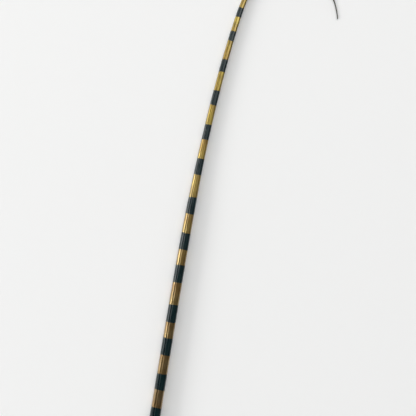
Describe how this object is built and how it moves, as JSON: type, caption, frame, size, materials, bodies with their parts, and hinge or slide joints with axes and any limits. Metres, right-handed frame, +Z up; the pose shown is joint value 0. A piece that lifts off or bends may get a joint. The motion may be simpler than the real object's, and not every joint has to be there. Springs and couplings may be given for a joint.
{
  "type": "stripped ostrich feather",
  "caption": "Long, slim ostrich feather shaft with its barbs stripped, hooked at the tip, dyed black and painted with gold bands; lies on its side.",
  "frame": {"origin": "centre of the bounding box at the level of the surface that the shaft lies on", "axes": "+Z up from the surface; +Y along the shaft's length, from the blunt calamus towards the hooked end; the hook bends towards +X and the feather's back faces -X"},
  "size_m": [0.1354, 0.3736, 0.0071],
  "materials": {
    "painted_shaft": "satin black dyed keratin with bands of metallic gold paint round it"
  },
  "bodies": {
    "root": {"feather_shaft": "painted_shaft"}
  },
  "joints": []
}
